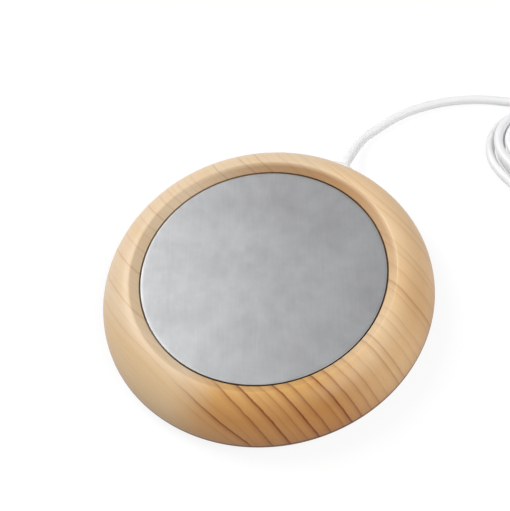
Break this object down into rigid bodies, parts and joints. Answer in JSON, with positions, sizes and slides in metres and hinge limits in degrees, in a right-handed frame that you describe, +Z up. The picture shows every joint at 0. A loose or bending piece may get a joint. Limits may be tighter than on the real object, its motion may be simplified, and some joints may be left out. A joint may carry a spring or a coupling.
{
  "type": "electric mug warmer",
  "caption": "Round wooden mug warmer with a recessed heated metal plate, rubber feet and a thin white lead that carries an in-line rocker switch, a tied bundle and a plug.",
  "frame": {"origin": "centre of the ring, on the table that the feet stand on", "axes": "+Z up through the plate; +Y out through the place where the cord leaves the ring"},
  "size_m": [0.1802, 0.1733, 0.02],
  "materials": {
    "wood": "satin varnish",
    "plate_metal": "brushed",
    "steel": "plain",
    "gasket": "matt",
    "film": "satin",
    "track": "etched",
    "felt": "felt",
    "ceramic": "glazed",
    "board": "solder mask",
    "chips": "matt",
    "wire": "satin",
    "base_plastic": "fine grain",
    "foot_rubber": "matt",
    "cord": "satin",
    "boot": "satin",
    "case_plastic": "satin gloss",
    "contact_brass": "plain",
    "tie": "soft",
    "plug_metal": "nickel",
    "tongue": "moulded"
  },
  "bodies": {
    "warmer": {"wood_ring": "wood", "hot_plate": "plate_metal", "plate_gasket": "gasket", "heater_film": "film", "heater_track": "track", "insulation_pad": "felt", "clamp_plate": "steel", "plate_nuts": "steel", "thermal_cutout": "ceramic", "cutout_strap": "steel", "cutout_rivets": "steel", "circuit_board": "board", "board_parts": "chips", "board_screws": "steel", "heater_wires": "wire", "cord_cores": "wire", "cord_inner": "cord", "cable_clamp": "base_plastic", "clamp_screws": "steel", "base_cover": "base_plastic", "base_screws": "steel", "foot_1": "foot_rubber", "foot_2": "foot_rubber", "foot_3": "foot_rubber", "foot_4": "foot_rubber", "strain_relief": "boot", "cord_lead": "cord", "switch_top_shell": "case_plastic", "switch_bottom_shell": "case_plastic", "rocker_pin": "steel", "switch_contacts": "contact_brass", "switch_cores": "wire", "switch_screws": "steel", "switch_boot_in": "boot", "switch_boot_out": "boot", "cord_link": "cord", "cord_hank": "cord", "hank_tie": "tie", "cord_tail": "cord", "plug_boot": "boot", "plug_grip": "case_plastic", "plug_shell": "plug_metal", "plug_tongue": "tongue", "plug_contacts": "contact_brass"},
    "rocker": {"switch_rocker": "case_plastic", "contact_bridge": "contact_brass"}
  },
  "joints": [
    {"name": "rocker_hinge", "type": "hinge", "parent": "warmer", "child": "rocker", "pos_m": [0.0955, 0.097, 0.0086], "axis": [0.6157, 0.788, 0], "range_deg": [0, 20]}
  ]
}
